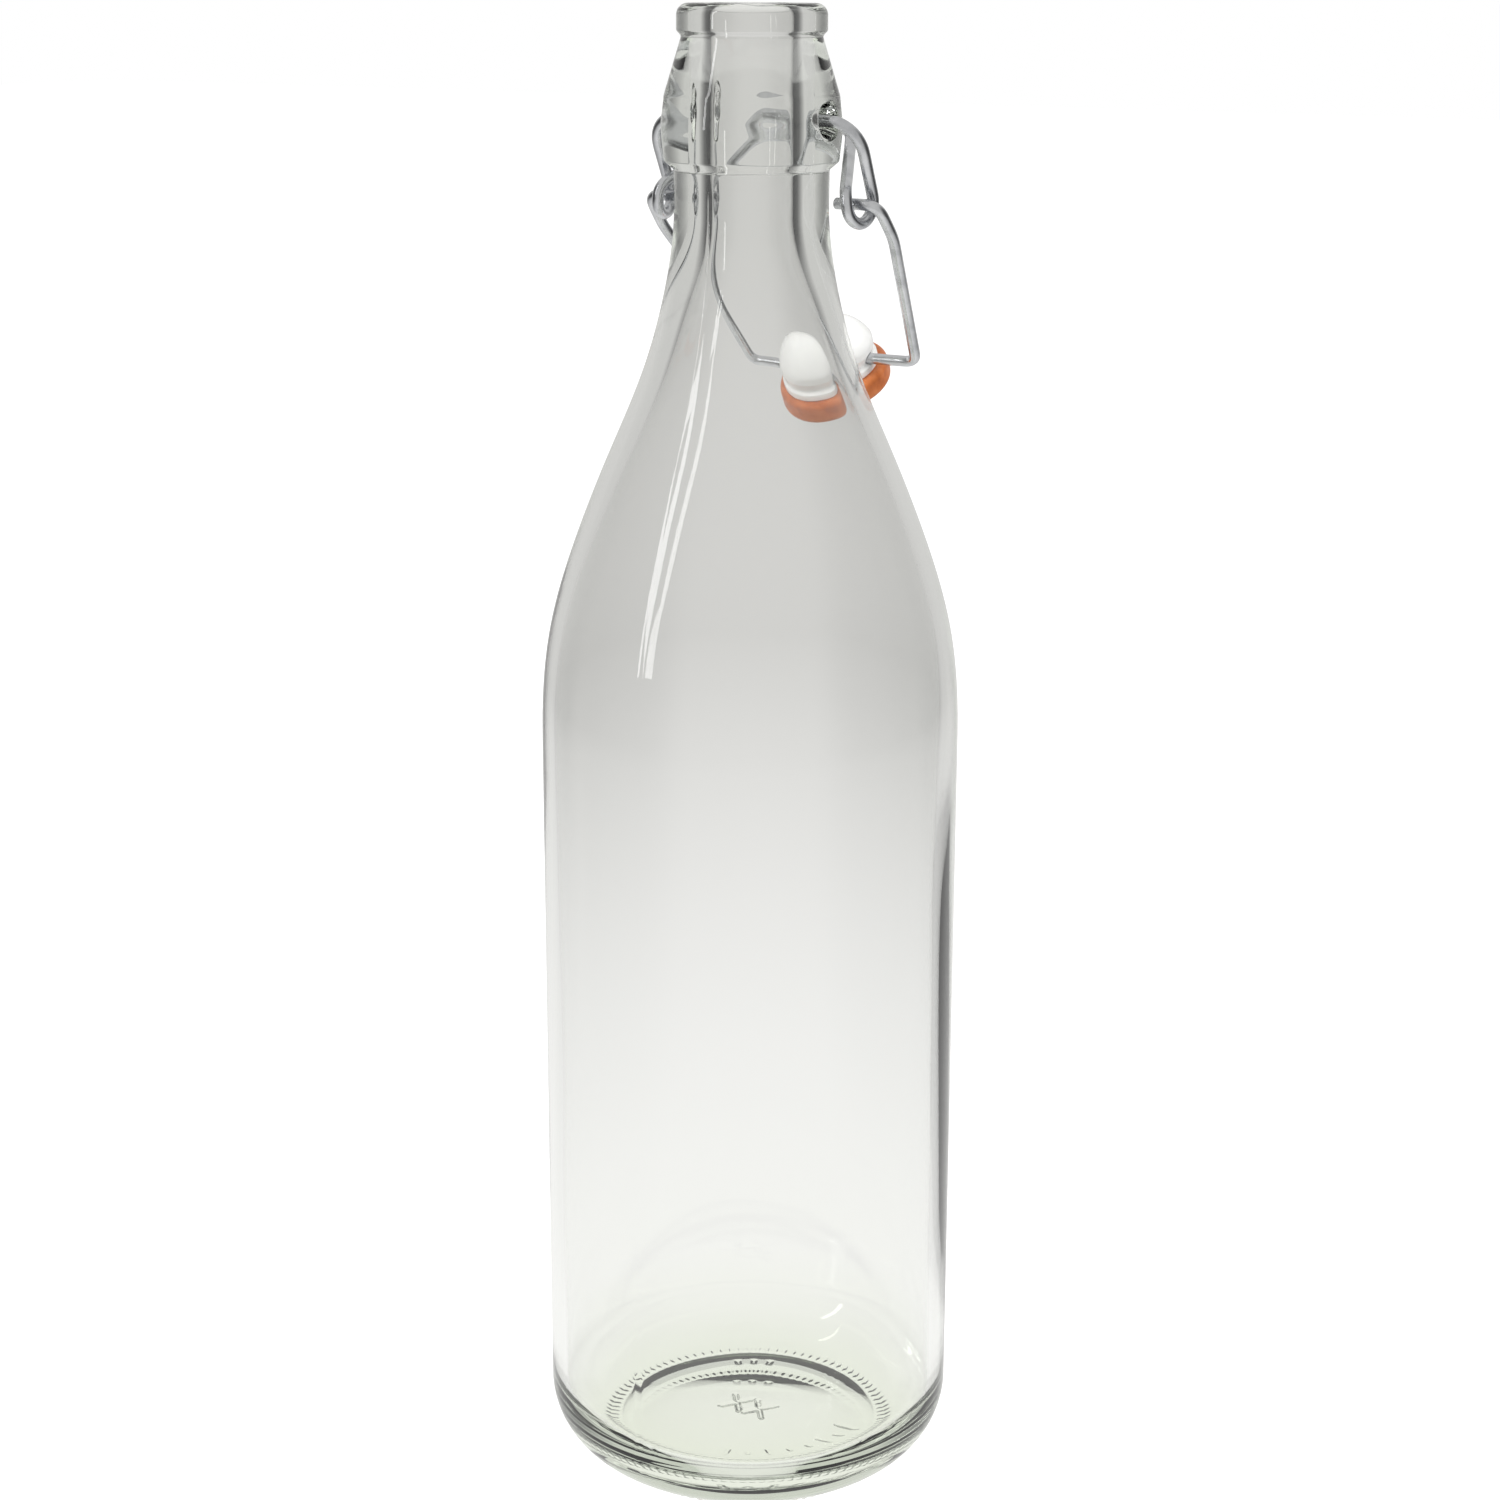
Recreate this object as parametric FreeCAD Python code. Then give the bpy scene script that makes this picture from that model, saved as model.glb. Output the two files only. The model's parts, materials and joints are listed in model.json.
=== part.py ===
import FreeCAD, Part
import math
import os

from FreeCAD import Vector

# Swing-top bottle (growler), one litre class, in millimetres.
# Origin: centre of the base on the table. +Z runs up the bottle's axis.
# The closure pivots about X and hangs down behind the neck, on the +Y side.

# --- bottle, outside ---
BODY_R = 43.0              # body radius
HEIGHT = 307.0             # table to top of lip
HEEL_R = 16.5              # rounding from wall to base
HEEL_END = -65.0           # degrees, where the rounding gives way to the foot
FOOT_R = 31.5              # outer edge of the flat ring it stands on
BEARING_IN_R = 28.5        # inner edge of that ring
PUNT_RISE = 4.0            # push-up at the centre of the base
SHOULDER_Z = 160.0         # the wall leaves the cylinder here
NECK_R = 15.4
NECK_Z = 268.0             # the neck is straight from here to the collar
COLLAR_Z = 275.2           # underside of the collar
COLLAR_R = 17.9
COLLAR_FOOT_R = 17.3
PIVOT_Z = 285.0            # height of the two dimples
CONE_Z = 289.5             # the collar starts to taper here
CONE_TOP_R = 13.9
CONE_TOP_Z = 300.6
LIP_R = 14.8
LIP_EDGE_R = 2.6           # rounding of the bead's outer edges

# --- bottle, inside ---
WALL = 3.3                 # body wall
FLOOR = 5.5                # glass under the cavity at the centre
FLOOR_RISE = 2.0           # the cavity's floor follows the push-up
FLOOR_CORNER_R = 12.0
BORE_R = 8.2               # mouth and neck bore
BORE_END_Z = 266.0         # lower end of the straight bore
MOUTH_EDGE_R = 2.2

# Shoulder between body and neck: (height above SHOULDER_Z, drop in outer radius, glass thickness)
SHOULDER = [
    (23.5, 2.0, 3.4),
    (42.6, 7.7, 3.7),
    (58.8, 14.2, 4.0),
    (75.0, 21.0, 4.5),
    (91.3, 25.6, 5.6),
]

# --- dimples that hold the lever ---
DIMPLE_MOUTH_R = 3.9
DIMPLE_SEAT_R = 1.27       # running fit on the lever wire
DIMPLE_FLOOR_X = 12.8
DIMPLE_SEAT_LEN = 1.8

# --- lever wire ---
LEVER_R = 1.2              # wire radius
LEVER_X = 24.0             # plane of each arm
LEVER_BEND_R = 6.5
EYE_Y = 3.3                # centre of each coiled eye
EYE_Z = 269.1
EYE_R = 3.7                # coil radius at the wire's centre line
EYE_SHIFT = 2.6            # the wire steps inward by this over the coil
LOOP_X = 10.5              # corner of the thumb loop
LOOP_Y = 21.2
LOOP_Z = 283.0
LOOP_BEND_R = 8.0
EYE_BENDS = 4              # the coil is this many joined round bends

# --- bail wire ---
BAIL_R = 1.15
TAIL_X = 17.3              # inner end of the tail, beside the neck
BAIL_TOP_X = 26.8
BAIL_KNEE_X = 27.1
BAIL_KNEE_S = 9.0          # distance from the eye along the bail
BAIL_FOOT_X = 19.6
BAIL_BEND_R = 2.8
BAIL_KNEE_R = 18.0

# --- stopper, hanging on the bail's cross wire ---
CROSS_Y = 33.0
CROSS_Z = 235.0
STOPPER_TILT = 30.0        # degrees, foot swung outward
HEAD_R = 8.8
HEAD_TOP = 8.8             # crown above the cross wire
HEAD_RIM = 2.6             # widest part of the head
FLANGE_TOP = -1.2
FLANGE_R = 8.9
GASKET_TOP = -2.7
GASKET_BOTTOM = -7.5
GASKET_R = 10.6
GASKET_EDGE_R = 1.3
SPIGOT_R = 4.4
BUTTON_R = 5.4
BUTTON_BOTTOM = -9.4
CROSS_HOLE_R = BAIL_R + 0.08


# ---------------------------------------------------------------- profiles

def rz(radius, z):
    """A point in the half plane that is revolved."""
    return Vector(radius, 0, z)


def line(a, b):
    return Part.makeLine(a, b)


def arc(a, middle, b):
    return Part.Arc(a, middle, b).toShape()


def corner(centre_r, centre_z, radius, start, end):
    """An arc of a circle in the profile, from start to end in degrees."""
    def at(angle):
        turn = math.radians(angle)
        return rz(centre_r + radius * math.cos(turn), centre_z + radius * math.sin(turn))
    return arc(at(start), at((start + end) / 2), at(end))


def crown(rim_r, rim_z, rise):
    """An arc from the rim up to the axis, centred on the axis, so it revolves to a sphere."""
    radius = (rim_r ** 2 + rise ** 2) / (2 * rise)
    centre_z = rim_z + rise - radius
    half = math.asin(rim_r / radius) / 2
    middle = rz(radius * math.sin(half), centre_z + radius * math.cos(half))
    return arc(rz(rim_r, rim_z), middle, rz(0, rim_z + rise))


def smooth(points, start_dir, end_dir):
    curve = Part.BSplineCurve()
    curve.interpolate(points, InitialTangent=start_dir, FinalTangent=end_dir)
    return curve.toShape()


def revolve(edges):
    face = Part.Face(Part.Wire(edges))
    solid = face.revolve(Vector(0, 0, 0), Vector(0, 0, 1), 360)
    return solid


# ---------------------------------------------------------------- bent wires

def rounded_edges(corners, radii):
    """Straight and round edges along a polyline whose inner corners are rounded."""
    edges = []
    last = corners[0]
    for before, here, after, radius in zip(corners, corners[1:], corners[2:], radii):
        into = (here - before).normalize()
        out = (after - here).normalize()
        turn = into.getAngle(out)
        trim = radius * math.tan(turn / 2)
        start = here - into * trim
        end = here + out * trim
        inward = (out - into).normalize()
        middle = here + inward * (radius / math.cos(turn / 2) - radius)
        edges.append(line(last, start))
        edges.append(arc(start, middle, end))
        last = end
    edges.append(line(last, corners[-1]))
    return edges


def bend_wire(corners, radii, wire_r):
    """A round wire along a rounded polyline on +X, carried on as its mirror image on -X."""
    other = [Vector(-p.x, p.y, p.z) for p in reversed(corners)]
    spine = Part.Wire(rounded_edges(corners + other, radii + radii[::-1]))
    direction = (corners[1] - corners[0]).normalize()
    section = Part.Wire(Part.makeCircle(wire_r, corners[0], direction))
    return spine.makePipeShell([section], True, False)


def tangent_angle(y, z, side):
    """Where a line from (y, z) touches the eye's circle, as an angle about the eye."""
    dy = y - EYE_Y
    dz = z - EYE_Z
    return math.atan2(dz, dy) + side * math.acos(EYE_R / math.hypot(dy, dz))


def eye_corner(angle, reach, x):
    return Vector(x, EYE_Y + reach * math.cos(angle), EYE_Z + reach * math.sin(angle))


# ---------------------------------------------------------------- pieces

def shoulder_points(inner):
    points = []
    for rise, drop, glass in SHOULDER:
        radius = BODY_R - drop - (glass if inner else 0)
        points.append(rz(radius, SHOULDER_Z + rise))
    return points


def bottle_outside():
    """Edges from the base centre, out and up to the top of the lip."""
    up = Vector(0, 0, 1)
    heel_r = BODY_R - HEEL_R
    heel_turn = math.radians(HEEL_END)
    heel_end = rz(heel_r + HEEL_R * math.cos(heel_turn), HEEL_R + HEEL_R * math.sin(heel_turn))
    lip_low_z = HEIGHT - 2 * LIP_EDGE_R - 0.6
    lip_in_r = LIP_R - LIP_EDGE_R
    neck_curve = [rz(BODY_R, SHOULDER_Z)] + shoulder_points(False) + [rz(NECK_R, NECK_Z)]
    return [
        crown(BEARING_IN_R, 0, PUNT_RISE),
        line(rz(BEARING_IN_R, 0), rz(FOOT_R, 0)),
        line(rz(FOOT_R, 0), heel_end),
        corner(heel_r, HEEL_R, HEEL_R, HEEL_END, 0),
        line(rz(BODY_R, HEEL_R), rz(BODY_R, SHOULDER_Z)),
        smooth(neck_curve, up, up),
        line(rz(NECK_R, NECK_Z), rz(NECK_R, COLLAR_Z)),
        line(rz(NECK_R, COLLAR_Z), rz(COLLAR_FOOT_R, COLLAR_Z + 1.6)),
        arc(rz(COLLAR_FOOT_R, COLLAR_Z + 1.6), rz(COLLAR_R, 283.5), rz(COLLAR_FOOT_R, CONE_Z)),
        line(rz(COLLAR_FOOT_R, CONE_Z), rz(CONE_TOP_R, CONE_TOP_Z)),
        line(rz(CONE_TOP_R, CONE_TOP_Z), rz(lip_in_r + 1.9, lip_low_z + 0.35)),
        arc(rz(lip_in_r + 1.9, lip_low_z + 0.35), rz(LIP_R, lip_low_z + LIP_EDGE_R),
            rz(LIP_R - 0.25, HEIGHT - LIP_EDGE_R + 0.3)),
        arc(rz(LIP_R - 0.25, HEIGHT - LIP_EDGE_R + 0.3), rz(LIP_R - 1.0, HEIGHT - 0.75),
            rz(lip_in_r, HEIGHT)),
    ]


def bottle_inside():
    """Edges from the top of the lip, down the bore and over the floor to the axis."""
    down = Vector(0, 0, -1)
    wall_r = BODY_R - WALL
    floor_z = PUNT_RISE + FLOOR
    corner_z = floor_z - FLOOR_RISE + FLOOR_CORNER_R
    floor_r = wall_r - FLOOR_CORNER_R
    bore = [rz(BORE_R, BORE_END_Z)] + shoulder_points(True)[::-1] + [rz(wall_r, SHOULDER_Z)]
    return [
        line(rz(LIP_R - LIP_EDGE_R, HEIGHT), rz(BORE_R + MOUTH_EDGE_R, HEIGHT)),
        corner(BORE_R + MOUTH_EDGE_R, HEIGHT - MOUTH_EDGE_R, MOUTH_EDGE_R, 90, 180),
        line(rz(BORE_R, HEIGHT - MOUTH_EDGE_R), rz(BORE_R, BORE_END_Z)),
        smooth(bore, down, down),
        line(rz(wall_r, SHOULDER_Z), rz(wall_r, corner_z)),
        corner(floor_r, corner_z, FLOOR_CORNER_R, 0, -90),
        crown(floor_r, floor_z - FLOOR_RISE, FLOOR_RISE),
        line(rz(0, floor_z), rz(0, PUNT_RISE)),
    ]


def dimple(side):
    """Blind funnel in the collar, ending in a seat for the lever's wire end."""
    seat_x = DIMPLE_FLOOR_X + DIMPLE_SEAT_LEN
    out = Vector(side, 0, 0)
    seat = Part.makeCylinder(DIMPLE_SEAT_R, DIMPLE_SEAT_LEN, Vector(side * DIMPLE_FLOOR_X, 0, PIVOT_Z), out)
    funnel = Part.makeCone(DIMPLE_SEAT_R, DIMPLE_MOUTH_R, COLLAR_R - seat_x,
                           Vector(side * seat_x, 0, PIVOT_Z), out)
    mouth = Part.makeCylinder(DIMPLE_MOUTH_R, 3.0, Vector(side * COLLAR_R, 0, PIVOT_Z), out)
    return seat.fuse([funnel, mouth])


def make_bottle():
    glass = revolve(bottle_outside() + bottle_inside())
    for side in (1, -1):
        glass = glass.cut(dimple(side))
    return glass


def make_lever():
    """One wire: dimple, arm, coiled eye, thumb loop, and the same again mirrored."""
    first = tangent_angle(0, PIVOT_Z, -1)
    last = tangent_angle(LOOP_Y, LOOP_Z, 1) - 2 * math.pi
    turn = (last - first) / EYE_BENDS
    reach = EYE_R / math.cos(turn / 2)
    corners = [Vector(DIMPLE_FLOOR_X + 0.15, 0, PIVOT_Z), Vector(LEVER_X, 0, PIVOT_Z)]
    for i in range(EYE_BENDS):
        share = (i + 0.5) / EYE_BENDS
        corners.append(eye_corner(first + turn * (i + 0.5), reach, LEVER_X - EYE_SHIFT * share))
    corners.append(Vector(LOOP_X, LOOP_Y, LOOP_Z))
    radii = [LEVER_BEND_R] + [EYE_R * 0.92] * EYE_BENDS + [LOOP_BEND_R]
    return bend_wire(corners, radii, LEVER_R)


def make_bail():
    """One wire: tail, eye, arm, cross wire through the stopper, and back up."""
    eye = Vector(0, EYE_Y, EYE_Z)
    cross = Vector(0, CROSS_Y, CROSS_Z)
    length = (cross - eye).Length
    along = (cross - eye).normalize()

    def at(x, s):
        return eye + along * s + Vector(x, 0, 0)

    corners = [at(TAIL_X, 0), at(BAIL_TOP_X, 0), at(BAIL_KNEE_X, BAIL_KNEE_S), at(BAIL_FOOT_X, length)]
    return bend_wire(corners, [BAIL_BEND_R, BAIL_KNEE_R, BAIL_BEND_R], BAIL_R)


def hang(shape):
    """Moves a piece made about the cross wire to where the stopper hangs."""
    shape.rotate(Vector(0, 0, 0), Vector(1, 0, 0), STOPPER_TILT)
    shape.translate(Vector(0, CROSS_Y, CROSS_Z))
    return shape


def make_stopper():
    """Domed head over a flange, with a spigot and button that carry the gasket."""
    waist_r = HEAD_R - 0.7
    body = revolve([
        crown(HEAD_R, HEAD_RIM, HEAD_TOP - HEAD_RIM),
        arc(rz(HEAD_R, HEAD_RIM), rz(HEAD_R - 0.1, 1.0), rz(waist_r, FLANGE_TOP + 0.6)),
        line(rz(waist_r, FLANGE_TOP + 0.6), rz(FLANGE_R, FLANGE_TOP)),
        line(rz(FLANGE_R, FLANGE_TOP), rz(FLANGE_R, GASKET_TOP)),
        line(rz(FLANGE_R, GASKET_TOP), rz(SPIGOT_R, GASKET_TOP)),
        line(rz(SPIGOT_R, GASKET_TOP), rz(SPIGOT_R, GASKET_BOTTOM)),
        line(rz(SPIGOT_R, GASKET_BOTTOM), rz(BUTTON_R, GASKET_BOTTOM)),
        arc(rz(BUTTON_R, GASKET_BOTTOM), rz(BUTTON_R - 0.5, BUTTON_BOTTOM + 0.7),
            rz(BUTTON_R - 2.0, BUTTON_BOTTOM)),
        line(rz(BUTTON_R - 2.0, BUTTON_BOTTOM), rz(0, BUTTON_BOTTOM)),
        line(rz(0, BUTTON_BOTTOM), rz(0, HEAD_TOP)),
    ])
    half = HEAD_R + 2
    hole = Part.makeCylinder(CROSS_HOLE_R, 2 * half, Vector(-half, 0, 0), Vector(1, 0, 0))
    return hang(body.cut(hole))


def make_gasket():
    """Thick rubber ring with rounded rims, gripped on the spigot."""
    edge_r = GASKET_R - GASKET_EDGE_R
    top = GASKET_TOP - GASKET_EDGE_R
    bottom = GASKET_BOTTOM + GASKET_EDGE_R
    ring = revolve([
        line(rz(SPIGOT_R, GASKET_TOP), rz(edge_r, GASKET_TOP)),
        corner(edge_r, top, GASKET_EDGE_R, 90, 0),
        line(rz(GASKET_R, top), rz(GASKET_R, bottom)),
        corner(edge_r, bottom, GASKET_EDGE_R, 0, -90),
        line(rz(edge_r, GASKET_BOTTOM), rz(SPIGOT_R, GASKET_BOTTOM)),
        line(rz(SPIGOT_R, GASKET_BOTTOM), rz(SPIGOT_R, GASKET_TOP)),
    ])
    return hang(ring)


NODES = {
    "bottle": make_bottle,
    "lever_wire": make_lever,
    "bail_wire": make_bail,
    "stopper": make_stopper,
    "gasket": make_gasket,
}

os.makedirs("parts", exist_ok=True)
for name, make in NODES.items():
    shape = make()
    if shape.Volume < 0:
        shape.reverse()
    print(name, "valid", shape.isValid(), "solids", len(shape.Solids), "volume", round(shape.Volume, 1))
    shape.exportStep("parts/" + name + ".step")
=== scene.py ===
import json
import math

import bpy
import numpy as np
from mathutils import Matrix, Vector


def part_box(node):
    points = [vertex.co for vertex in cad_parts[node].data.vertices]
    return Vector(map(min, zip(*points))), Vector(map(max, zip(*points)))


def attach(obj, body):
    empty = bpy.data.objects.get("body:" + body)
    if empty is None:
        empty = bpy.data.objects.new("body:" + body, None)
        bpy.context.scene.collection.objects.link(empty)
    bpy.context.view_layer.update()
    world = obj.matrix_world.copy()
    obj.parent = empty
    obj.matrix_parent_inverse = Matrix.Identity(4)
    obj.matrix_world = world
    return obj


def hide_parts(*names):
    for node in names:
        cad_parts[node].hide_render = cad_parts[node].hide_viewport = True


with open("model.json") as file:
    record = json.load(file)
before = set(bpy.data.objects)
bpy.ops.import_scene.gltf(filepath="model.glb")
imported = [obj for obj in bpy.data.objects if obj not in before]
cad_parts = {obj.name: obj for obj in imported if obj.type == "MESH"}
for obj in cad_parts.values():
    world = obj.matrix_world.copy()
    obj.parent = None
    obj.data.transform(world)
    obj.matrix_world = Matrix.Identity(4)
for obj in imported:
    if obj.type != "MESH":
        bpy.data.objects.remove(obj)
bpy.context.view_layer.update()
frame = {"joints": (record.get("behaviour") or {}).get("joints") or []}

# A clear swing-top bottle, open, with its wire closure hanging behind the neck.
# Lengths are in millimetres in this script, and meshes are written in metres.
MM = 0.001
JOINTS = {j["name"]: Vector(j["pos_m"]) / MM for j in frame["joints"]}
PIVOT = JOINTS["lever_pivot"]
EYE = JOINTS["bail_pivot"]
CROSS = JOINTS["stopper_swivel"]


def cad_box(node):
    low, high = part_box(node)
    return low / MM, high / MM


# --- bottle, its overall size read from the frame ---
GLASS_HIGH = cad_box("bottle")[1]
BODY_R = GLASS_HIGH.x
HEIGHT = GLASS_HIGH.z

HEEL_R = 16.5
HEEL_END = -65.0
FOOT_R = 31.5
BEARING_IN_R = 28.5
PUNT_RISE = 4.0
SHOULDER_Z = 160.0
NECK_R = 15.4
NECK_Z = 268.0
COLLAR_Z = 275.2
COLLAR_R = 17.9
COLLAR_FOOT_R = 17.3
CONE_Z = 289.5
CONE_TOP_R = 13.9
CONE_TOP_Z = 300.6
LIP_R = 14.8
WALL = 3.3
FLOOR = 5.5
FLOOR_RISE = 2.0
FLOOR_CORNER_R = 12.0
BORE_R = 8.2
BORE_END_Z = 266.0
MOUTH_EDGE_R = 2.2
# (height above SHOULDER_Z, drop in outer radius, glass thickness)
SHOULDER = [(23.5, 2.0, 3.4), (42.6, 7.7, 3.7), (58.8, 14.2, 4.0), (75.0, 21.0, 4.5), (91.3, 25.6, 5.6)]

DIMPLE_MOUTH_R = 3.9
DIMPLE_SEAT_R = 1.45
DIMPLE_FLOOR_X = 12.7

# --- lever wire ---
LEVER_R = 1.2
LEVER_END_X = 12.95
LEVER_ARM_X = 24.0
LEVER_BEND_R = 6.5
EYE_R = 3.7
EYE_SHIFT = 2.6            # the wire steps inward by this over the coil
EYE_BENDS = 4              # the coil is this many joined round bends
LOOP_CORNER = Vector((10.5, 21.2, 283.0))
LOOP_BEND_R = 8.0

# --- bail wire ---
BAIL_R = 1.15
BAIL_TAIL_X = 17.3
BAIL_TOP_X = 26.8
BAIL_KNEE_X = 27.1
BAIL_KNEE_S = 9.0          # distance from the eye along the bail
BAIL_FOOT_X = 19.6
BAIL_BEND_R = 2.8
BAIL_KNEE_R = 18.0

# --- stopper ---
STOPPER_TILT = math.radians(30.0)
CROSS_HOLE_R = BAIL_R + 0.08

AROUND = 384


# ---------------------------------------------------------------- curves and routes

def rounded_route(corners, radii, step):
    """Points along a polyline whose inner corners are rounded to the given radii."""
    points = [corners[0]]
    for before, here, after, radius in zip(corners, corners[1:], corners[2:], radii):
        into = (here - before).normalized()
        out = (after - here).normalized()
        turn = into.angle(out)
        start = here - into * radius * math.tan(turn / 2)
        side = (out - into * into.dot(out)).normalized()
        centre = start + side * radius
        points += straight(points[-1], start, step)
        count = max(5, int(radius * turn / step) + 1)
        for i in range(1, count + 1):
            angle = turn * i / count
            points.append(centre - side * radius * math.cos(angle) + into * radius * math.sin(angle))
    return points + straight(points[-1], corners[-1], step)


def straight(a, b, step):
    """Points from a (left out) to b (included)."""
    count = max(1, round((b - a).length / step))
    return [a.lerp(b, i / count) for i in range(1, count + 1)]


def arc_points(centre, radius, start, end, step):
    """Points of a circle in the profile plane, start and end in degrees, start left out."""
    count = max(6, int(abs(math.radians(end - start)) * radius / step))
    angles = [math.radians(start + (end - start) * i / count) for i in range(1, count + 1)]
    return [centre + radius * Vector((math.cos(a), math.sin(a))) for a in angles]


def crown(rim_r, rim_z, rise, step):
    """A shallow cap from the rim (left out) to the axis (left out), as profile points."""
    radius = (rim_r ** 2 + rise ** 2) / (2 * rise)
    centre_z = rim_z + rise - radius
    count = int(rim_r / step)
    radii = [rim_r * (1 - i / count) for i in range(1, count)]
    return [Vector((r, centre_z + math.sqrt(radius ** 2 - r ** 2))) for r in radii]


def clamped_spline(x, y, samples):
    """Cubic spline through (x, y) with no slope at either end."""
    x, y = np.array(x, float), np.array(y, float)
    n = len(x)
    h = np.diff(x)
    matrix, right = np.zeros((n, n)), np.zeros(n)
    matrix[0, 0] = matrix[-1, -1] = 1.0
    for i in range(1, n - 1):
        matrix[i, i - 1] = h[i]
        matrix[i, i] = 2 * (h[i - 1] + h[i])
        matrix[i, i + 1] = h[i - 1]
        right[i] = 3 * (h[i] * (y[i] - y[i - 1]) / h[i - 1] + h[i - 1] * (y[i + 1] - y[i]) / h[i])
    slope = np.linalg.solve(matrix, right)
    at = np.clip(np.searchsorted(x, samples) - 1, 0, n - 2)
    t = (samples - x[at]) / h[at]
    return ((2 * t ** 3 - 3 * t ** 2 + 1) * y[at] + (t ** 3 - 2 * t ** 2 + t) * h[at] * slope[at]
            + (3 * t ** 2 - 2 * t ** 3) * y[at + 1] + (t ** 3 - t ** 2) * h[at] * slope[at + 1])


def smoothstep(value, low, high):
    t = np.clip((value - low) / (high - low), 0, 1)
    return t * t * (3 - 2 * t)


# ---------------------------------------------------------------- meshes

def add_mesh(name, points_mm, faces, body, slot, *nodes):
    mesh = bpy.data.meshes.new(name)
    mesh.from_pydata([tuple(c * MM for c in p) for p in points_mm], [], faces)
    mesh.validate()
    mesh.update()
    mesh.polygons.foreach_set("use_smooth", [True] * len(mesh.polygons))
    piece = bpy.data.objects.new(name, mesh)
    bpy.context.scene.collection.objects.link(piece)
    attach(piece, body)
    if nodes:
        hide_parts(*nodes)
    return piece


def lathe(profile, around, shape=None):
    """Turns a profile about Z. Its first and last points close onto the axis. shape may move each ring."""
    angles = np.arange(around) * 2 * math.pi / around
    rings = []
    for index, (r, z) in enumerate(profile):
        radii = np.full(around, float(r))
        heights = np.full(around, float(z))
        if shape:
            radii, heights = shape(index, r, z, angles, radii, heights)
        rings.append(np.c_[radii * np.cos(angles), radii * np.sin(angles), heights])
    points = np.concatenate(rings)
    faces = []
    for i in range(len(profile) - 1):
        a, b = i * around, (i + 1) * around
        for j in range(around):
            k = (j + 1) % around
            faces.append((a + j, a + k, b + k, b + j))
    start, end = len(points), len(points) + 1
    last = (len(profile) - 1) * around
    first_z, last_z = rings[0][:, 2].mean(), rings[-1][:, 2].mean()
    points = np.vstack([points, [0, 0, first_z], [0, 0, last_z]])
    for j in range(around):
        k = (j + 1) % around
        faces.append((start, k, j))
        faces.append((end, last + j, last + k))
    return points, faces


def tube(route, radius, sides=28):
    """A round wire along the route, with slightly rounded sawn ends."""
    route = np.array([tuple(p) for p in route], float)
    ahead = np.gradient(route, axis=0)
    ahead /= np.linalg.norm(ahead, axis=1)[:, None]
    side = np.cross(ahead[0], [0.0, 0.0, 1.0])
    side /= np.linalg.norm(side)
    end_round = 0.25
    rings = []
    turn = np.arange(sides) * 2 * math.pi / sides

    def ring(centre, across, direction, r):
        up = np.cross(direction, across)
        rings.append(centre + r * (np.outer(np.cos(turn), across) + np.outer(np.sin(turn), up)))

    for i, (centre, direction) in enumerate(zip(route, ahead)):
        side = side - direction * side.dot(direction)
        side /= np.linalg.norm(side)
        if i == 0:
            for back, share in ((1.0, 0.55), (0.98, 0.78), (0.6, 0.93)):
                ring(centre - direction * end_round * (back - 1.0), side, direction, radius * share)
            ring(centre + direction * end_round, side, direction, radius)
        elif i == len(route) - 1:
            ring(centre - direction * end_round, side, direction, radius)
            for back, share in ((0.6, 0.93), (0.98, 0.78), (1.0, 0.55)):
                ring(centre + direction * end_round * (back - 1.0), side, direction, radius * share)
        else:
            ring(centre, side, direction, radius)
    points = np.concatenate(rings)
    faces = []
    for i in range(len(rings) - 1):
        a, b = i * sides, (i + 1) * sides
        for j in range(sides):
            k = (j + 1) % sides
            faces.append((a + j, a + k, b + k, b + j))
    faces.append(tuple(range(sides))[::-1])
    faces.append(tuple((len(rings) - 1) * sides + j for j in range(sides)))
    return points, faces


# ---------------------------------------------------------------- the bottle

def shoulder_profile(inner):
    low_z = SHOULDER_Z
    high_z = BORE_END_Z if inner else NECK_Z
    low_r = BODY_R - WALL if inner else BODY_R
    high_r = BORE_R if inner else NECK_R
    heights = [low_z] + [low_z + rise for rise, _, _ in SHOULDER] + [high_z]
    radii = [low_r] + [BODY_R - drop - (glass if inner else 0) for _, drop, glass in SHOULDER] + [high_r]
    samples = np.linspace(low_z, high_z, 76)[1:]
    return [Vector((r, z)) for r, z in zip(clamped_spline(heights, radii, samples), samples)]


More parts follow.
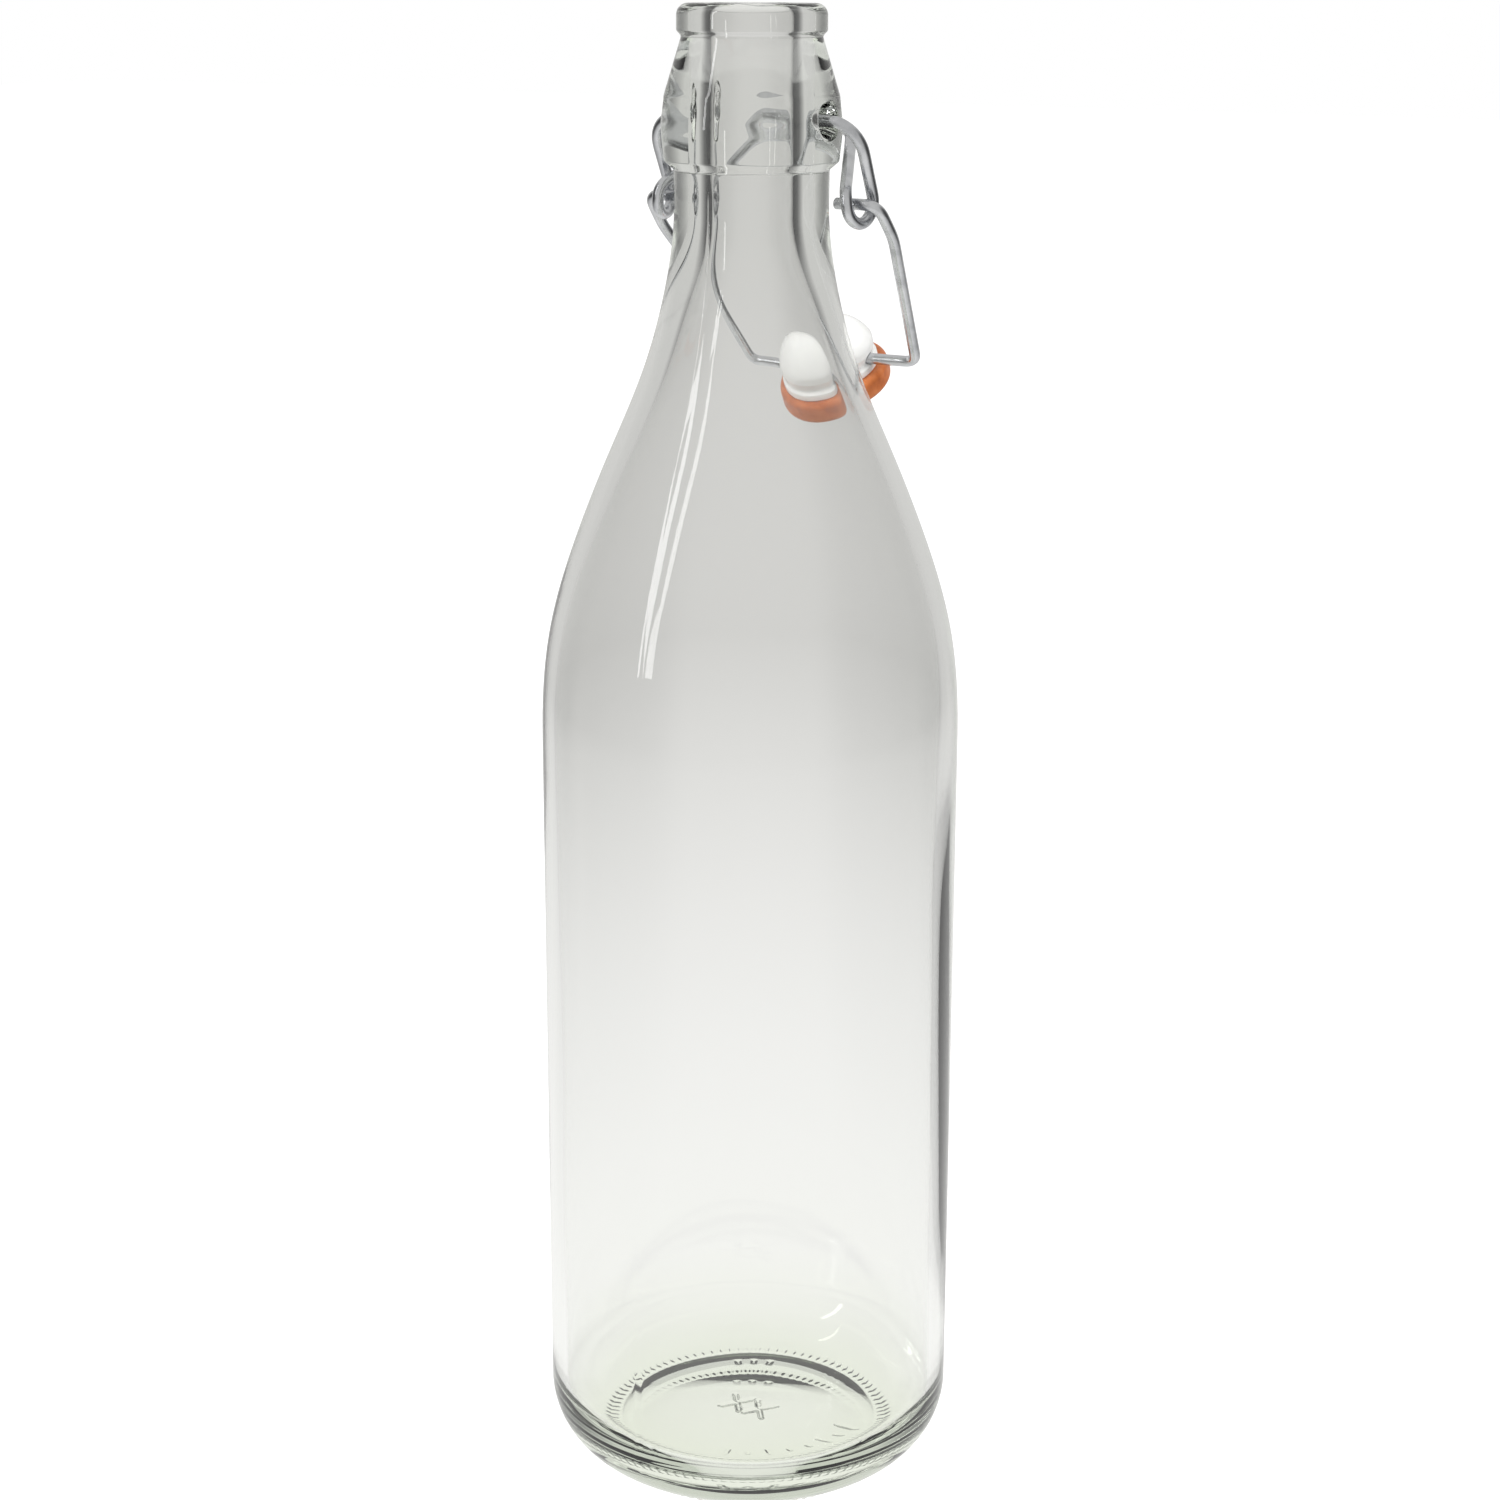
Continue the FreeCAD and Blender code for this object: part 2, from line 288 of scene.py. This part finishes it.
def outside_profile():
    """From beside the axis under the base, out over the heel and up to the top of the lip."""
    fine = 0.4
    heel_r = BODY_R - HEEL_R
    points = crown(BEARING_IN_R, 0, PUNT_RISE, fine)[::-1]
    points += straight(Vector((BEARING_IN_R, 0)), Vector((FOOT_R, 0)), fine)
    turn = math.radians(HEEL_END)
    heel_end = Vector((heel_r + HEEL_R * math.cos(turn), HEEL_R + HEEL_R * math.sin(turn)))
    points += straight(Vector((FOOT_R, 0)), heel_end, fine)
    points += arc_points(Vector((heel_r, HEEL_R)), HEEL_R, HEEL_END, 0, 0.8)
    points += straight(Vector((BODY_R, HEEL_R)), Vector((BODY_R, SHOULDER_Z)), 3.0)
    points += shoulder_profile(False)
    finish = [Vector((NECK_R, NECK_Z)), Vector((NECK_R, COLLAR_Z)), Vector((COLLAR_FOOT_R, COLLAR_Z + 1.6)),
              Vector((COLLAR_R + 0.1, PIVOT.z - 1.5)), Vector((COLLAR_FOOT_R, CONE_Z)),
              Vector((CONE_TOP_R, CONE_TOP_Z)), Vector((CONE_TOP_R + 0.25, CONE_TOP_Z + 0.5))]
    points += rounded_route(finish, [0.7, 0.8, 12.0, 6.0, 0.4], fine)[1:]
    bead = [Vector((CONE_TOP_R + 0.25, CONE_TOP_Z + 0.5)), Vector((LIP_R, CONE_TOP_Z + 1.1)),
            Vector((LIP_R, HEIGHT)), Vector((LIP_R - 2.6, HEIGHT))]
    points += rounded_route(bead, [0.9, 2.3], 0.3)[1:]
    return points


def inside_profile():
    """From the top of the lip, down the bore and over the floor to beside the axis."""
    wall_r = BODY_R - WALL
    floor_z = PUNT_RISE + FLOOR
    corner_z = floor_z - FLOOR_RISE + FLOOR_CORNER_R
    floor_r = wall_r - FLOOR_CORNER_R
    edge = Vector((BORE_R + MOUTH_EDGE_R, HEIGHT - MOUTH_EDGE_R))
    points = straight(Vector((LIP_R - 2.6, HEIGHT)), Vector((edge.x, HEIGHT)), 0.5)
    points += arc_points(edge, MOUTH_EDGE_R, 90, 180, 0.3)
    points += straight(Vector((BORE_R, HEIGHT - MOUTH_EDGE_R)), Vector((BORE_R, BORE_END_Z)), 1.5)
    points += shoulder_profile(True)[:-1][::-1]
    points += straight(Vector((wall_r, SHOULDER_Z)), Vector((wall_r, corner_z)), 3.0)
    points += arc_points(Vector((floor_r, corner_z)), FLOOR_CORNER_R, 0, -90, 0.8)
    points += crown(floor_r, floor_z - FLOOR_RISE, FLOOR_RISE, 0.8)
    return points


def base_marks():
    """Plain dashes on a circle and a small lozenge: (x, y, half length, half width, turn)."""
    marks = []
    for i, half_length in enumerate((2.2, 0.8, 2.2, 0.8, 0.8, 2.2, 0.8, 2.2)):
        angle = math.radians(-70 + 12 * i)
        marks.append((22.5 * math.cos(angle), 22.5 * math.sin(angle), half_length, 0.45, angle))
    for turn in (0.9, -0.9):
        marks.append((4.6 * math.cos(turn), 0.0, 3.6, 0.4, turn))
        marks.append((-4.6 * math.cos(turn), 0.0, 3.6, 0.4, -turn))
    for i in range(3):
        angle = math.radians(110 + 9 * i)
        marks.append((22.5 * math.cos(angle), 22.5 * math.sin(angle), 0.8, 0.45, angle))
    return marks


def mark_height(x, y):
    """Height of the raised marks on the push-up."""
    height = np.zeros_like(x)
    for cx, cy, half_length, half_width, turn in base_marks():
        along = (x - cx) * math.cos(turn) + (y - cy) * math.sin(turn)
        across = -(x - cx) * math.sin(turn) + (y - cy) * math.cos(turn)
        gap = np.hypot(np.maximum(np.abs(along) - half_length, 0), across)
        height = np.maximum(height, 0.5 * (1 - smoothstep(gap, half_width * 0.4, half_width * 1.9)))
    return height


def bottle_shaper(outside_count):
    """Moves the turned rings: dimples, mould seam, knurled foot ring, base marks, uneven inner wall."""

    def outside(r, z, angles, radii, heights):
        x, y = radii * np.cos(angles), radii * np.sin(angles)
        if r < BEARING_IN_R and z < PUNT_RISE + 1:
            heights = heights - mark_height(x, y)
        if z < 3.0 and 28.0 < r < 34.0:
            ridge = 0.5 + 0.5 * np.cos(angles * 96)
            window = smoothstep(r, 28.9, 29.6) * (1 - smoothstep(r, 32.2, 33.4))
            heights = heights + 0.5 * window * smoothstep(ridge, 0.35, 0.8)
        if 4.0 < z < COLLAR_Z - 1:
            offset = np.abs(np.abs(angles - math.pi) - math.pi / 2) * r
            fade = smoothstep(z, 4.0, 12.0) * (1 - smoothstep(z, COLLAR_Z - 6, COLLAR_Z - 1))
            radii = radii + 0.04 * fade * (1 - smoothstep(offset, 0.15, 0.6))
            sway = np.cos(2 * angles + 0.7 + z * 0.013) + 0.6 * np.cos(3 * angles + 2.1 - z * 0.009)
            radii = radii - 0.03 * fade * (1 + sway / 1.6)
        if abs(z - PIVOT.z) < DIMPLE_MOUTH_R + 1:
            from_axis = np.hypot(radii * np.sin(angles), z - PIVOT.z)
            cut = 1 - smoothstep(from_axis, DIMPLE_SEAT_R, DIMPLE_MOUTH_R)
            x = radii * np.cos(angles)
            floor = np.sign(x) * DIMPLE_FLOOR_X
            x_new = x + (floor - x) * cut
            y = radii * np.sin(angles)
            return (x_new, y), heights
        return radii, heights

    def inside(r, z, angles, radii, heights):
        if 20.0 < z < NECK_Z:
            fade = smoothstep(z, 20, 60) * (1 - smoothstep(z, NECK_Z - 30, NECK_Z))
            wave = (np.cos(2 * angles + 0.4 + z * 0.011) + 0.7 * np.cos(3 * angles - 1.3 + z * 0.02)
                    + 0.45 * np.cos(5 * angles + 2.2 - z * 0.017) + 0.2 * np.cos(9 * angles + z * 0.05))
            radii = radii + 0.16 * fade * wave
        if z < 14.0 and r < 30:
            heights = heights + 0.16 * np.cos(3 * angles + 0.5) * smoothstep(r, 2, 16)
        return radii, heights

    def shape(index, r, z, angles, radii, heights):
        if index < outside_count:
            return outside(r, z, angles, radii, heights)
        return inside(r, z, angles, radii, heights)

    return shape


def lathe_glass():
    """The bottle as one closed skin, outside then inside."""
    outer, inner = outside_profile(), inside_profile()
    shape = bottle_shaper(len(outer))
    profile = outer + inner
    angles = np.arange(AROUND) * 2 * math.pi / AROUND

    def ring(index, r, z):
        radii, heights = shape(index, r, z, angles, np.full(AROUND, r), np.full(AROUND, z))
        if isinstance(radii, tuple):
            return np.c_[radii[0], radii[1], heights]
        return np.c_[radii * np.cos(angles), radii * np.sin(angles), heights]

    points, faces = lathe([tuple(p) for p in profile], AROUND)
    rings = np.concatenate([ring(i, p.x, p.y) for i, p in enumerate(profile)])
    points[:len(rings)] = rings
    return points, faces


# ---------------------------------------------------------------- wires, stopper, gasket

def mirrored(points):
    return points + [Vector((-p.x, p.y, p.z)) for p in reversed(points[:-1])]


def touch_angle(point, side):
    """Angle round the eye where a straight run to the point leaves its coil."""
    dy, dz = point.y - EYE.y, point.z - EYE.z
    return math.atan2(dz, dy) + side * math.acos(EYE_R / math.hypot(dy, dz))


def lever_route():
    """Dimple, arm, coiled eye, thumb loop, and the mirror image."""
    arm = Vector((LEVER_ARM_X, 0, PIVOT.z))
    first = touch_angle(arm, -1)
    last = touch_angle(LOOP_CORNER, 1) - 2 * math.pi
    turn = (last - first) / EYE_BENDS
    reach = EYE_R / math.cos(turn / 2)
    corners = [Vector((LEVER_END_X, 0, PIVOT.z)), arm]
    for i in range(EYE_BENDS):
        angle = first + turn * (i + 0.5)
        corners.append(Vector((LEVER_ARM_X - EYE_SHIFT * (i + 0.5) / EYE_BENDS,
                               EYE.y + reach * math.cos(angle), EYE.z + reach * math.sin(angle))))
    corners += [LOOP_CORNER, Vector((0, LOOP_CORNER.y, LOOP_CORNER.z))]
    radii = [LEVER_BEND_R] + [EYE_R * 0.92] * EYE_BENDS + [LOOP_BEND_R]
    return mirrored(rounded_route(corners, radii, 0.4))


def relax(points, rounds):
    """Softens the kinks where straight and arc meet."""
    route = np.array([tuple(p) for p in points], float)
    for _ in range(rounds):
        route[1:-1] = 0.25 * route[:-2] + 0.5 * route[1:-1] + 0.25 * route[2:]
    return [Vector(p) for p in route]


def bail_route():
    """Tail, eye, arm, cross wire through the stopper, and the mirror image."""
    along = (CROSS - EYE).normalized()
    length = (CROSS - EYE).length

    def at(x, s):
        return EYE + along * s + Vector((x, 0, 0))

    corners = [at(BAIL_TAIL_X, 0), at(BAIL_TOP_X, 0), at(BAIL_KNEE_X, BAIL_KNEE_S),
               at(BAIL_FOOT_X, length), at(0, length)]
    return mirrored(rounded_route(corners, [BAIL_BEND_R, BAIL_KNEE_R, BAIL_BEND_R], 0.5))


def hung(points):
    """From the stopper's own frame about the cross wire to where it hangs."""
    turn = Matrix.Rotation(STOPPER_TILT, 3, "X")
    return [turn @ Vector(p) + Vector((0, CROSS.y, CROSS.z)) for p in points]


def stopper_profile():
    head_r, head_top, head_rim = 8.8, 8.8, 2.6
    waist_r, flange_r = 8.1, 8.9
    spigot_r, button_r = 4.4, 5.4
    corners = [Vector((0.01, -9.4)), Vector((button_r - 0.4, -9.4)), Vector((button_r, -7.5)),
               Vector((spigot_r, -7.5)), Vector((spigot_r, -2.7)), Vector((flange_r, -2.7)),
               Vector((flange_r, -1.2)), Vector((waist_r, -0.6)), Vector((head_r - 0.05, 1.2)),
               Vector((head_r, head_rim))]
    points = rounded_route(corners, [1.2, 0.3, 0.3, 0.3, 0.35, 0.35, 0.5, 0.8], 0.25)[1:]
    return points + crown(head_r, head_rim, head_top - head_rim, 0.3)


def gasket_profile():
    """Closed ring section, rounded at its rims."""
    inner_r, outer_r, top, bottom = 4.4, 10.6, -2.7, -7.5
    corners = [Vector((inner_r, -5.0)), Vector((inner_r, bottom)), Vector((outer_r, bottom)),
               Vector((outer_r, top)), Vector((inner_r, top)), Vector((inner_r, -5.0))]
    return rounded_route(corners, [0.3, 1.3, 1.3, 0.3], 0.25)[:-1]


def ring_mesh(profile, around):
    """Turns a closed section about Z."""
    count = len(profile)
    points = []
    for j in range(around):
        angle = 2 * math.pi * j / around
        points += [(p.x * math.cos(angle), p.x * math.sin(angle), p.y) for p in profile]
    faces = []
    for j in range(around):
        k = (j + 1) % around
        for i in range(count):
            n = (i + 1) % count
            faces.append((j * count + i, k * count + i, k * count + n, j * count + n))
    return points, faces


def drill(piece, radius, half):
    """Cuts the cross hole along X."""
    turn = np.arange(40) * 2 * math.pi / 40
    ends = []
    for x in (-half, half):
        ends += [(x * MM, (CROSS.y + radius * math.cos(a)) * MM, (CROSS.z + radius * math.sin(a)) * MM)
                 for a in turn]
    faces = [tuple(range(40))[::-1], tuple(range(40, 80))]
    faces += [(j, (j + 1) % 40, 40 + (j + 1) % 40, 40 + j) for j in range(40)]
    mesh = bpy.data.meshes.new("drill")
    mesh.from_pydata(ends, [], faces)
    cutter = bpy.data.objects.new("drill", mesh)
    bpy.context.scene.collection.objects.link(cutter)
    cut = piece.modifiers.new("cross_hole", "BOOLEAN")
    cut.operation = "DIFFERENCE"
    cut.solver = "EXACT"
    cut.object = cutter
    bpy.context.view_layer.update()
    evaluated = piece.evaluated_get(bpy.context.evaluated_depsgraph_get())
    mesh = bpy.data.meshes.new_from_object(evaluated)
    piece.modifiers.remove(cut)
    piece.data = mesh
    bpy.data.objects.remove(cutter)


# ---------------------------------------------------------------- materials

def new_material(name):
    material = bpy.data.materials.new(name)
    material.use_nodes = True
    tree = material.node_tree
    return material, tree, tree.nodes["Principled BSDF"]


def node(tree, kind, **inputs):
    made = tree.nodes.new(kind)
    for key, value in inputs.items():
        made.inputs[key.replace("_", " ")].default_value = value
    return made


def ramp(tree, factor, stops):
    made = tree.nodes.new("ShaderNodeValToRGB")
    while len(made.color_ramp.elements) < len(stops):
        made.color_ramp.elements.new(0.5)
    for element, (place, colour) in zip(made.color_ramp.elements, stops):
        element.position = place
        element.color = (*colour, 1.0)
    tree.links.new(factor, made.inputs["Fac"])
    return made.outputs["Color"]


def noise(tree, scale, detail=4.0, stretch=(1, 1, 1)):
    """Noise in the object's own coordinates, scale in features per metre."""
    place = tree.nodes.new("ShaderNodeTexCoord")
    mapping = tree.nodes.new("ShaderNodeMapping")
    mapping.inputs["Scale"].default_value = stretch
    tree.links.new(place.outputs["Object"], mapping.inputs["Vector"])
    made = node(tree, "ShaderNodeTexNoise", Scale=scale, Detail=detail)
    tree.links.new(mapping.outputs["Vector"], made.inputs["Vector"])
    return made.outputs["Fac"]


def bump(tree, shader, height, distance, strength=1.0):
    made = node(tree, "ShaderNodeBump", Distance=distance, Strength=strength)
    tree.links.new(height, made.inputs["Height"])
    tree.links.new(made.outputs["Normal"], shader.inputs["Normal"])


def spread(tree, factor, low, high):
    made = tree.nodes.new("ShaderNodeMapRange")
    made.inputs["To Min"].default_value = low
    made.inputs["To Max"].default_value = high
    tree.links.new(factor, made.inputs["Value"])
    return made.outputs["Result"]


def glass_material():
    """Clear flint glass, greyer where the neck is thick, with a green cast towards the heel."""
    material, tree, shader = new_material("clear_glass")
    place = tree.nodes.new("ShaderNodeTexCoord")
    split = tree.nodes.new("ShaderNodeSeparateXYZ")
    tree.links.new(place.outputs["Object"], split.inputs["Vector"])
    height = tree.nodes.new("ShaderNodeMapRange")
    height.inputs["From Min"].default_value = 0.0
    height.inputs["From Max"].default_value = HEIGHT * MM
    tree.links.new(split.outputs["Z"], height.inputs["Value"])
    colour = ramp(tree, height.outputs["Result"], [
        (0.0, (0.85, 0.89, 0.77)), (0.04, (0.945, 0.958, 0.915)), (0.09, (0.985, 0.988, 0.98)),
        (0.35, (0.99, 0.99, 0.988)),
        (0.62, (0.968, 0.966, 0.962)), (1.0, (0.95, 0.948, 0.944))])
    tree.links.new(colour, shader.inputs["Base Color"])
    tree.links.new(spread(tree, noise(tree, 60), 0.0, 0.012), shader.inputs["Roughness"])
    shader.inputs["Transmission Weight"].default_value = 1.0
    shader.inputs["IOR"].default_value = 1.52
    bump(tree, shader, noise(tree, 45, 2.0, (1, 1, 0.25)), 0.0006, 0.12)
    absorb = tree.nodes.new("ShaderNodeVolumeAbsorption")
    absorb.inputs["Color"].default_value = (0.72, 0.86, 0.64, 1.0)
    absorb.inputs["Density"].default_value = 5.0
    tree.links.new(absorb.outputs["Volume"], tree.nodes["Material Output"].inputs["Volume"])
    return material


def wire_material():
    """Zinc-plated drawn steel: fine scratches, spangle and darker worn patches."""
    material, tree, shader = new_material("zinc_wire")
    cloud = noise(tree, 260, 5.0)
    colour = ramp(tree, cloud, [
        (0.3, (0.5, 0.51, 0.53)), (0.5, (0.62, 0.63, 0.65)), (0.72, (0.72, 0.73, 0.75))])
    tree.links.new(colour, shader.inputs["Base Color"])
    shader.inputs["Metallic"].default_value = 1.0
    tree.links.new(spread(tree, noise(tree, 900, 5.0), 0.16, 0.3), shader.inputs["Roughness"])
    bump(tree, shader, noise(tree, 1500, 3.0, (1, 1, 0.18)), 0.00003, 0.35)
    return material


def stopper_material():
    """Glossy white moulding with a faint warm cast and a softly uneven gloss."""
    material, tree, shader = new_material("white_stopper")
    colour = ramp(tree, noise(tree, 130, 3.0), [(0.3, (0.92, 0.92, 0.9)), (0.7, (0.96, 0.96, 0.95))])
    tree.links.new(colour, shader.inputs["Base Color"])
    tree.links.new(spread(tree, noise(tree, 260), 0.12, 0.28), shader.inputs["Roughness"])
    shader.inputs["Subsurface Weight"].default_value = 0.15
    shader.inputs["Subsurface Radius"].default_value = (0.003, 0.003, 0.0028)
    shader.inputs["Coat Weight"].default_value = 0.3
    bump(tree, shader, noise(tree, 700, 2.0), 0.00004, 0.4)
    return material


def rubber_material():
    """Orange-red rubber, slightly mottled, with a dusty bloom."""
    material, tree, shader = new_material("orange_rubber")
    colour = ramp(tree, noise(tree, 380, 6.0), [
        (0.28, (0.42, 0.1, 0.022)), (0.5, (0.58, 0.155, 0.035)), (0.75, (0.68, 0.22, 0.07))])
    tree.links.new(colour, shader.inputs["Base Color"])
    tree.links.new(spread(tree, noise(tree, 500), 0.42, 0.62), shader.inputs["Roughness"])
    shader.inputs["Sheen Weight"].default_value = 0.15
    bump(tree, shader, noise(tree, 2200, 3.0), 0.00005, 0.6)
    return material


def dress(piece, material):
    piece.data.materials.clear()
    piece.data.materials.append(material)


# ---------------------------------------------------------------- build

def build_bottle():
    points, faces = lathe_glass()
    piece = add_mesh("glass_bottle", points, faces, "bottle", "clear_glass", "bottle")
    piece.visible_shadow = False  # light passes through it onto the stopper
    dress(piece, glass_material())


def build_wires():
    steel = wire_material()
    points, faces = tube(relax(lever_route(), 6), LEVER_R)
    dress(add_mesh("lever_wire_drawn", points, faces, "lever", "zinc_wire", "lever_wire"), steel)
    points, faces = tube(relax(bail_route(), 4), BAIL_R)
    dress(add_mesh("bail_wire_drawn", points, faces, "bail", "zinc_wire", "bail_wire"), steel)


def build_stopper():
    profile = [tuple(p) for p in stopper_profile()]
    points, faces = lathe(profile, 96)
    piece = add_mesh("stopper_moulding", hung(points), faces, "stopper", "white_stopper", "stopper")
    drill(piece, CROSS_HOLE_R, 12.0)
    dress(piece, stopper_material())
    points, faces = ring_mesh(gasket_profile(), 96)
    ring = add_mesh("gasket_ring", hung(points), faces, "stopper", "orange_rubber", "gasket")
    dress(ring, rubber_material())


# ---------------------------------------------------------------- stage, light, camera

VIEW_AZIMUTH = math.radians(32.0)
CAMERA_DISTANCE = 580.8
CAMERA_HEIGHT = 312.4
CAMERA_PITCH = math.radians(15.013)
CAMERA_ROLL = math.radians(0.163)
LENS = 69.45


def studio_tone(tree, direction):
    """Brightness of the studio along a direction: pale ahead and behind, dark to either side."""
    turn = tree.nodes.new("ShaderNodeVectorRotate")
    turn.rotation_type = "Z_AXIS"
    turn.inputs["Angle"].default_value = -VIEW_AZIMUTH
    tree.links.new(direction, turn.inputs["Vector"])
    split = tree.nodes.new("ShaderNodeSeparateXYZ")
    tree.links.new(turn.outputs["Vector"], split.inputs["Vector"])
    side = tree.nodes.new("ShaderNodeMath")
    side.operation = "ABSOLUTE"
    tree.links.new(split.outputs["X"], side.inputs[0])
    return ramp(tree, side.outputs[0], [
        (0.0, (0.67, 0.667, 0.655)), (0.66, (0.64, 0.637, 0.625)),
        (0.88, (0.14, 0.14, 0.14)), (1.0, (0.06, 0.06, 0.06))])


def build_floor():
    """White to the camera. The glass and steel see it bright near the base and darker to the sides."""
    side = 6.0
    mesh = bpy.data.meshes.new("floor")
    corners = [(-side, -side, 0), (side, -side, 0), (side, side, 0), (-side, side, 0)]
    mesh.from_pydata(corners, [], [(0, 1, 2, 3)])
    floor = bpy.data.objects.new("floor", mesh)
    bpy.context.scene.collection.objects.link(floor)
    floor.location.z = -0.0002
    material, tree, shader = new_material("pale_floor")
    tree.nodes.remove(shader)
    place = tree.nodes.new("ShaderNodeTexCoord")
    length = tree.nodes.new("ShaderNodeVectorMath")
    length.operation = "LENGTH"
    tree.links.new(place.outputs["Object"], length.inputs[0])
    outward = tree.nodes.new("ShaderNodeVectorMath")
    outward.operation = "NORMALIZE"
    tree.links.new(place.outputs["Object"], outward.inputs[0])
    near = tree.nodes.new("ShaderNodeMapRange")
    near.inputs["From Min"].default_value = 0.1
    near.inputs["From Max"].default_value = 0.85
    tree.links.new(length.outputs["Value"], near.inputs["Value"])
    tone = tree.nodes.new("ShaderNodeMix")
    tone.data_type = "RGBA"
    tone.inputs[6].default_value = (0.95, 0.947, 0.935, 1)
    tree.links.new(near.outputs["Result"], tone.inputs[0])
    tree.links.new(studio_tone(tree, outward.outputs["Vector"]), tone.inputs[7])
    seen = tree.nodes.new("ShaderNodeEmission")
    tree.links.new(tone.outputs[2], seen.inputs["Color"])
    glow = tree.nodes.new("ShaderNodeEmission")
    glow.inputs["Strength"].default_value = 0.8
    diffuse = tree.nodes.new("ShaderNodeBsdfDiffuse")
    diffuse.inputs["Color"].default_value = (0.6, 0.6, 0.6, 1)
    add = tree.nodes.new("ShaderNodeAddShader")
    tree.links.new(glow.outputs[0], add.inputs[0])
    tree.links.new(diffuse.outputs[0], add.inputs[1])
    path = tree.nodes.new("ShaderNodeLightPath")
    choose = tree.nodes.new("ShaderNodeMixShader")
    tree.links.new(path.outputs["Is Camera Ray"], choose.inputs[0])
    tree.links.new(seen.outputs[0], choose.inputs[1])
    tree.links.new(add.outputs[0], choose.inputs[2])
    tree.links.new(choose.outputs[0], tree.nodes["Material Output"].inputs["Surface"])
    dress(floor, material)


def build_world():
    """White to the camera. To the glass and steel it is a soft studio with two darker sides."""
    world = bpy.data.worlds.new("studio")
    bpy.context.scene.world = world
    world.use_nodes = True
    tree = world.node_tree
    background = tree.nodes["Background"]
    place = tree.nodes.new("ShaderNodeTexCoord")
    tone = studio_tone(tree, place.outputs["Generated"])
    path = tree.nodes.new("ShaderNodeLightPath")
    mix = tree.nodes.new("ShaderNodeMix")
    mix.data_type = "RGBA"
    tree.links.new(path.outputs["Is Camera Ray"], mix.inputs[0])
    tree.links.new(tone, mix.inputs[6])
    mix.inputs[7].default_value = (1, 1, 1, 1)
    tree.links.new(mix.outputs[2], background.inputs["Color"])


def build_light(name, azimuth, elevation, distance, size, watts, mirrored_in_glass):
    """An area light aimed at mid height. The softboxes light the closure but don't show in the glass."""
    lamp = bpy.data.lights.new(name, "AREA")
    lamp.shape = "RECTANGLE"
    lamp.size = size[0]
    lamp.size_y = size[1]
    lamp.energy = watts
    lamp_object = bpy.data.objects.new(name, lamp)
    bpy.context.scene.collection.objects.link(lamp_object)
    a = VIEW_AZIMUTH + math.radians(azimuth)
    e = math.radians(elevation)
    lamp_object.visible_glossy = mirrored_in_glass
    lamp_object.visible_transmission = mirrored_in_glass
    aim = Vector((0, 0, 0.17))
    back = Vector((math.sin(a) * math.cos(e), -math.cos(a) * math.cos(e), math.sin(e)))
    lamp_object.location = aim + back * distance
    lamp_object.rotation_euler = (-back).to_track_quat("-Z", "Y").to_euler()


def build_camera():
    data = bpy.data.cameras.new("camera")
    camera = bpy.data.objects.new("camera", data)
    bpy.context.scene.collection.objects.link(camera)
    data.sensor_width = 36.0
    data.lens = LENS
    data.clip_start = 0.01
    camera.location = (math.sin(VIEW_AZIMUTH) * CAMERA_DISTANCE * MM,
                       -math.cos(VIEW_AZIMUTH) * CAMERA_DISTANCE * MM, CAMERA_HEIGHT * MM)
    turn = (Matrix.Rotation(VIEW_AZIMUTH, 4, "Z") @ Matrix.Rotation(math.pi / 2 - CAMERA_PITCH, 4, "X")
            @ Matrix.Rotation(CAMERA_ROLL, 4, "Z"))
    camera.rotation_euler = turn.to_euler()
    bpy.context.scene.camera = camera


build_bottle()
build_wires()
build_stopper()
build_floor()
build_world()
build_light("key_softbox", -48, 38, 1.3, (0.7, 1.0), 11, False)
build_light("fill_softbox", 62, 30, 1.5, (0.6, 1.1), 12, False)
build_light("edge_strip", -62, 22, 1.3, (0.07, 0.9), 1.2, True)
build_camera()

settings = bpy.context.scene.view_settings
settings.view_transform = "Standard"
settings.look = "None"
cycles = bpy.context.scene.cycles
cycles.max_bounces = 16
cycles.transmission_bounces = 14
cycles.glossy_bounces = 8
